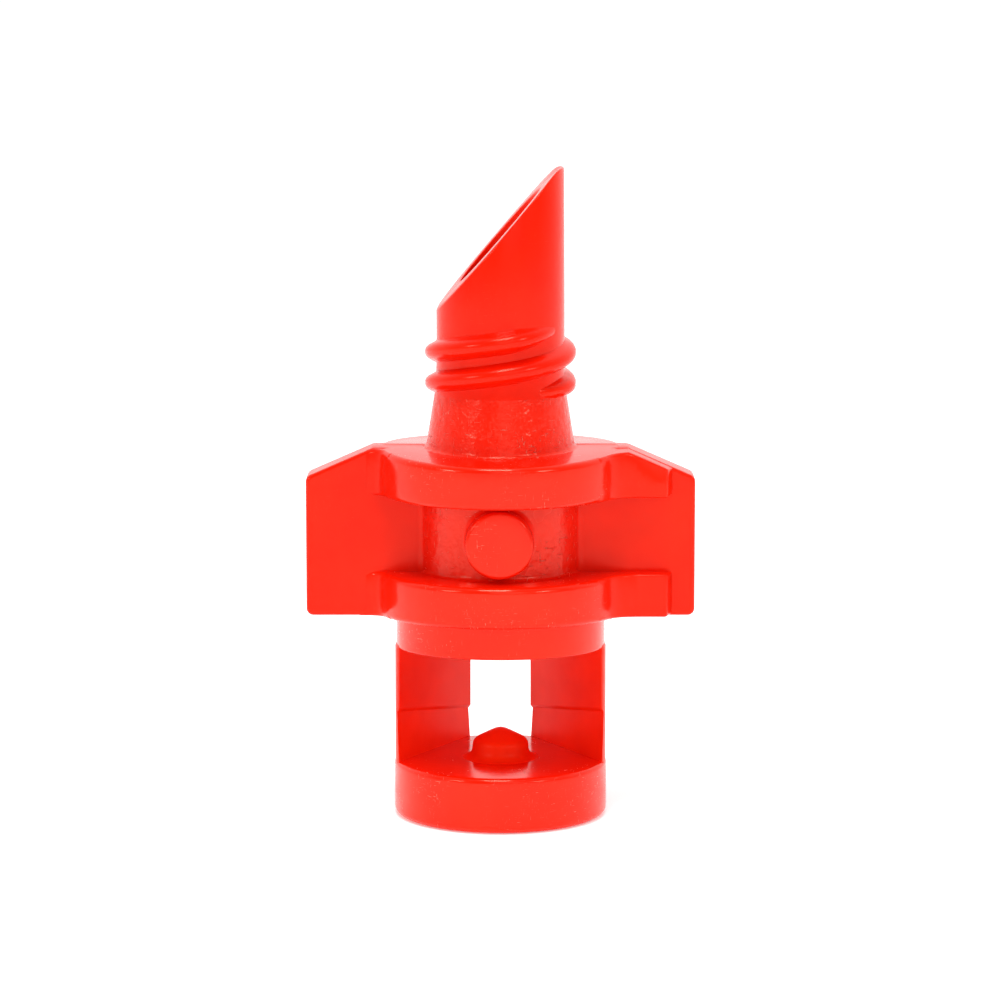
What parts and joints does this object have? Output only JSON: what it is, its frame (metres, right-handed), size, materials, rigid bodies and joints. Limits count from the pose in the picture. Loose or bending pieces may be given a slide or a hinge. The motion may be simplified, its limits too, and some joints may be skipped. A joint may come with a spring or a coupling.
{
  "type": "micro jet sprayer",
  "caption": "One-piece moulded plastic micro-jet sprayer: bevelled inlet spike with thread, winged body and an open spray window with a deflector cone.",
  "frame": {"origin": "centre of the deflector disc's flat underside", "axes": "+Z along the nozzle axis from the deflector to the inlet spike, -Y out of the wide open side of the spray window, +X towards the ribbed wing and the tall side of the spike"},
  "size_m": [0.0124, 0.0076, 0.0208],
  "materials": {
    "moulded_plastic": "semi-gloss, injection moulded, vermilion red"
  },
  "bodies": {
    "root": {"piercing_spike": "moulded_plastic", "threaded_shank": "moulded_plastic", "thread_start_a": "moulded_plastic", "thread_start_b": "moulded_plastic", "neck": "moulded_plastic", "upper_flange": "moulded_plastic", "hub": "moulded_plastic", "front_boss": "moulded_plastic", "lower_flange": "moulded_plastic", "left_wing": "moulded_plastic", "right_wing": "moulded_plastic", "upper_rib": "moulded_plastic", "lower_rib": "moulded_plastic", "collar": "moulded_plastic", "jet_orifice": "moulded_plastic", "left_post": "moulded_plastic", "right_post": "moulded_plastic", "deflector_disc": "moulded_plastic", "deflector_cone": "moulded_plastic"}
  },
  "joints": []
}
